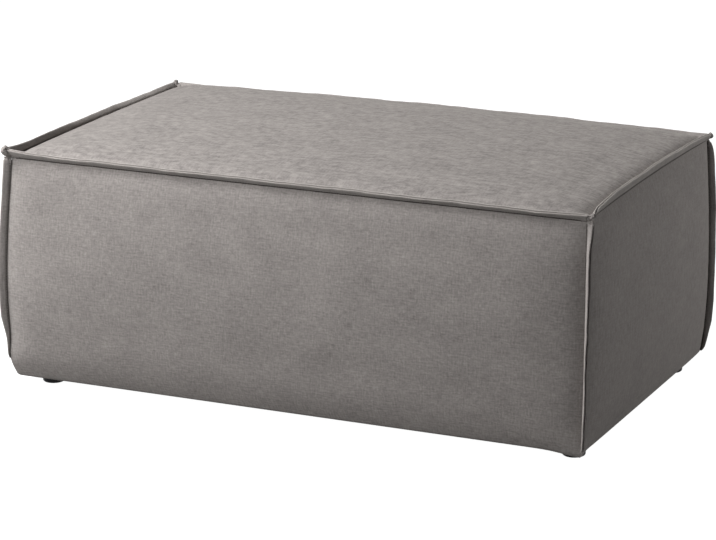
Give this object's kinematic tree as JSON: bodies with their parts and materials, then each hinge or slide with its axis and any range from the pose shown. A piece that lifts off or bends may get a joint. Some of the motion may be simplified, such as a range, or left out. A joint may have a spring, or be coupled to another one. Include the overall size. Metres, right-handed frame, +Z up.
{
  "type": "footstool",
  "caption": "Rectangular upholstered footstool with a sprung, padded seat and a woven cover sewn with flanged seams, standing on low round plastic feet.",
  "frame": {"origin": "on the floor, under the middle of the footstool", "axes": "+X along the long side to the right as seen from the front, +Y to the back, +Z up; the front faces -Y"},
  "size_m": [1.0066, 0.6067, 0.401],
  "materials": {
    "cover_cloth": "warm grey woven velour with a soft sheen",
    "dust_cover_cloth": "matt black non-woven",
    "foot_plastic": "moulded, satin",
    "foam": "open-cell foam, matt",
    "wadding": "fluffy polyester wadding",
    "felt": "needled felt",
    "hardboard": "pressed board, smooth face out",
    "beech": "fluted dowel, unfinished",
    "softwood": "planed pine, unfinished",
    "screw_steel": "zinc plated",
    "spring_wire": "drawn and blued",
    "clip_steel": "zinc plated strip"
  },
  "bodies": {
    "root": {"front_bottom_rail": "softwood", "back_bottom_rail": "softwood", "left_bottom_rail": "softwood", "right_bottom_rail": "softwood", "middle_bottom_rail": "softwood", "front_top_rail": "softwood", "back_top_rail": "softwood", "left_top_rail": "softwood", "right_top_rail": "softwood", "middle_stretcher": "softwood", "corner_posts": "softwood", "middle_posts": "softwood", "corner_blocks": "softwood", "front_board": "hardboard", "right_board": "hardboard", "back_board": "hardboard", "left_board": "hardboard", "frame_dowels": "beech", "frame_screws": "screw_steel", "zigzag_springs": "spring_wire", "spring_clips": "clip_steel", "spring_felt": "felt", "seat_foam": "foam", "front_foam": "foam", "right_foam": "foam", "back_foam": "foam", "left_foam": "foam", "top_wadding": "wadding", "side_wadding": "wadding", "top_cover": "cover_cloth", "front_cover": "cover_cloth", "right_cover": "cover_cloth", "back_cover": "cover_cloth", "left_cover": "cover_cloth", "front_top_flange": "cover_cloth", "right_top_flange": "cover_cloth", "back_top_flange": "cover_cloth", "left_top_flange": "cover_cloth", "front_left_flange": "cover_cloth", "front_right_flange": "cover_cloth", "back_right_flange": "cover_cloth", "back_left_flange": "cover_cloth", "corner_ears": "cover_cloth", "dust_cover": "dust_cover_cloth", "front_left_foot": "foot_plastic", "front_right_foot": "foot_plastic", "back_right_foot": "foot_plastic", "back_left_foot": "foot_plastic", "foot_screws": "screw_steel"}
  },
  "joints": []
}
